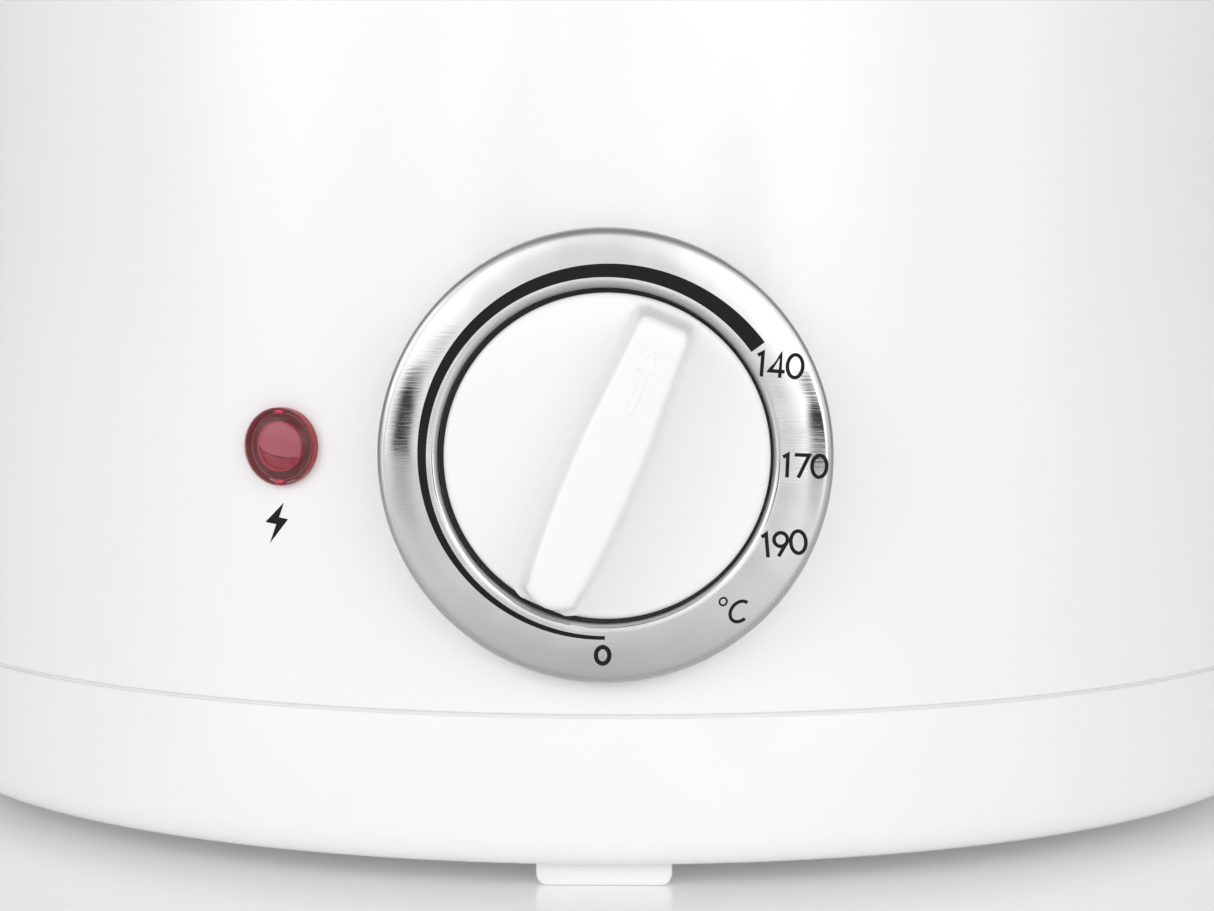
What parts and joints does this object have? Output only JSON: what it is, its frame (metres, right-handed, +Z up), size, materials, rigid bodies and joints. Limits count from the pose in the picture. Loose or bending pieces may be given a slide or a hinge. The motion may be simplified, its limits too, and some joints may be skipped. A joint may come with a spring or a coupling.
{
  "type": "deep fryer",
  "caption": "Compact round deep fryer with a front temperature dial, pilot lamp, hinged lid with window and filter, lift-out pot and a basket with a folding handle.",
  "frame": {"origin": "middle of the bounding box's footprint, on the table plane under the feet", "axes": "+Z up, the dial faces -Y, +X is to the right when facing the dial"},
  "size_m": [0.268, 0.3081, 0.3923],
  "materials": {
    "white_plastic": "glossy moulded polypropylene, cool white",
    "grey_plastic": "satin mid-grey moulding",
    "polished_steel": "polished stainless steel",
    "sheet_steel": "aluminised sheet steel",
    "aluminium": "plain satin aluminium",
    "non_stick": "aluminium with a dark non-stick coat",
    "red_lens": "red translucent lens, moulded",
    "black_plastic": "black heat-proof moulding",
    "silicone": "grey silicone rubber",
    "glass": "clear toughened glass",
    "charcoal": "charcoal filter mat",
    "brown_lead": "brown insulated lead",
    "blue_lead": "blue insulated lead",
    "copper": "copper tube"
  },
  "bodies": {
    "housing": {"base_pan": "white_plastic", "foot_front": "white_plastic", "foot_right": "white_plastic", "foot_rear": "white_plastic", "foot_left": "white_plastic", "outer_shell": "white_plastic", "inner_housing": "sheet_steel", "top_collar": "white_plastic", "carry_handle_right": "white_plastic", "carry_handle_left": "white_plastic", "heater_plate": "aluminium", "heating_element": "polished_steel", "support_leg_1": "sheet_steel", "support_leg_2": "sheet_steel", "support_leg_3": "sheet_steel", "leg_screw_1": "polished_steel", "leg_screw_2": "polished_steel", "leg_screw_3": "polished_steel", "thermostat_body": "black_plastic", "thermostat_screw_left": "polished_steel", "thermostat_screw_right": "polished_steel", "sensor_bulb": "copper", "capillary_tube": "copper", "thermal_cutout": "black_plastic", "terminal_block": "black_plastic", "lead_supply": "brown_lead", "lead_switched": "brown_lead", "lead_return": "blue_lead", "lamp_lens": "red_lens", "lamp_clip": "polished_steel", "lamp_holder": "black_plastic", "cord_gland": "white_plastic", "dial_bezel": "polished_steel", "latch_spring": "polished_steel", "hinge_bracket": "white_plastic", "hinge_pin": "polished_steel"},
    "temperature_knob": {"control_knob": "white_plastic", "thermostat_shaft": "polished_steel"},
    "latch": {"latch_button": "grey_plastic"},
    "lid": {"lid_shell": "white_plastic", "lid_liner": "aluminium", "lid_seal": "silicone", "window_frame": "grey_plastic", "window_glass": "glass", "filter_tray": "grey_plastic", "filter_pad": "charcoal", "filter_cover_pin": "polished_steel", "lid_catch": "polished_steel"},
    "filter_lid": {"filter_cover": "grey_plastic"},
    "oil_pot": {"pot": "non_stick"},
    "basket": {"basket_cup": "polished_steel", "basket_rim": "polished_steel", "basket_foot_ring": "polished_steel", "handle_bracket": "polished_steel", "handle_pin": "polished_steel"},
    "basket_handle": {"handle_fork": "polished_steel", "grip_upper": "white_plastic", "grip_lower": "white_plastic", "handle_slider": "grey_plastic"}
  },
  "joints": [
    {"name": "knob_turn", "type": "hinge", "parent": "housing", "child": "temperature_knob", "pos_m": [0, -0.14077, 0.0612], "axis": [0, 1, 0], "range_deg": [-202.7, 93]},
    {"name": "lid_hinge", "type": "hinge", "parent": "housing", "child": "lid", "pos_m": [0, 0.09463, 0.162], "axis": [-1, 0, 0], "range_deg": [-96, 0]},
    {"name": "filter_cover_hinge", "type": "hinge", "parent": "lid", "child": "filter_lid", "pos_m": [0, 0.14436, 0.2525], "axis": [1, 0, 0], "range_deg": [0, 70]},
    {"name": "latch_push", "type": "slide", "parent": "housing", "child": "latch", "axis": [0, 1, 0], "range_m": [0, 0.0035], "stiffness_N_per_m": 700, "springref_m": -0.002, "deforming": ["latch_spring"]},
    {"name": "pot_lift", "type": "slide", "parent": "housing", "child": "oil_pot", "axis": [0, 0, 1], "range_m": [0, 0.13]},
    {"name": "basket_lift", "type": "slide", "parent": "oil_pot", "child": "basket", "axis": [0, 0, 1], "range_m": [0, 0.15]},
    {"name": "handle_fold", "type": "hinge", "parent": "basket", "child": "basket_handle", "pos_m": [0, -0.10287, 0.166], "axis": [1, 0, 0], "range_deg": [0, 172]}
  ]
}
